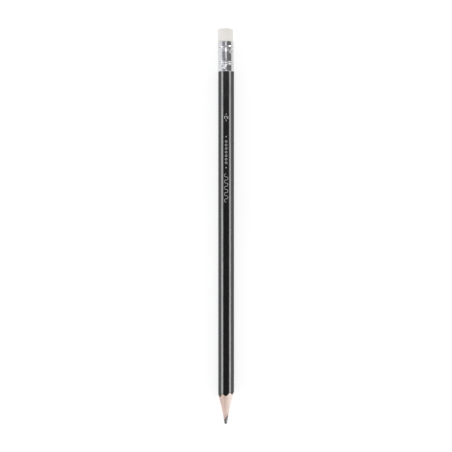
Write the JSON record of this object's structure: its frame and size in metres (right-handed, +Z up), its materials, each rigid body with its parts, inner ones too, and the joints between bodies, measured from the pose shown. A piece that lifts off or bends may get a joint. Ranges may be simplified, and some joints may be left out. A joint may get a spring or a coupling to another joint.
{
  "type": "graphite pencil",
  "caption": "Hexagonal black-lacquered graphite pencil with silver edge stripes, an aluminium ferrule, an off-white eraser and a sharpened point.",
  "frame": {"origin": "middle of the pencil's length and width, on the plane that it lies on, under its axis", "axes": "+Y along the pencil, from the point towards the eraser; +Z up, square to the facet that carries the foil marks; +X to the right when looked at from above with the eraser away"},
  "size_m": [0.0076, 0.19, 0.0076],
  "materials": {
    "graphite": "dark grey, with a soft metallic sheen",
    "adhesive": "clear amber glue",
    "wood": "pinkish beige, knife-cut, unfinished",
    "primer": "dark brown undercoat",
    "lacquer": "black gloss lacquer",
    "stripe": "silver-grey paint with fine metal flake",
    "foil": "hot-stamped silver foil",
    "ferrule": "bright drawn aluminium",
    "eraser": "off-white matt eraser"
  },
  "bodies": {
    "root": {"graphite_core": "graphite", "core_bond": "adhesive", "casing_upper": "wood", "casing_lower": "wood", "slat_glue_left": "adhesive", "slat_glue_right": "adhesive", "primer_coat": "primer", "lacquer_coat": "lacquer", "edge_stripe_1": "stripe", "edge_stripe_2": "stripe", "edge_stripe_3": "stripe", "edge_stripe_4": "stripe", "edge_stripe_5": "stripe", "edge_stripe_6": "stripe", "foil_grade_mark": "foil", "foil_lozenges": "foil", "foil_wave": "foil", "ferrule": "ferrule", "eraser": "eraser"}
  },
  "joints": []
}
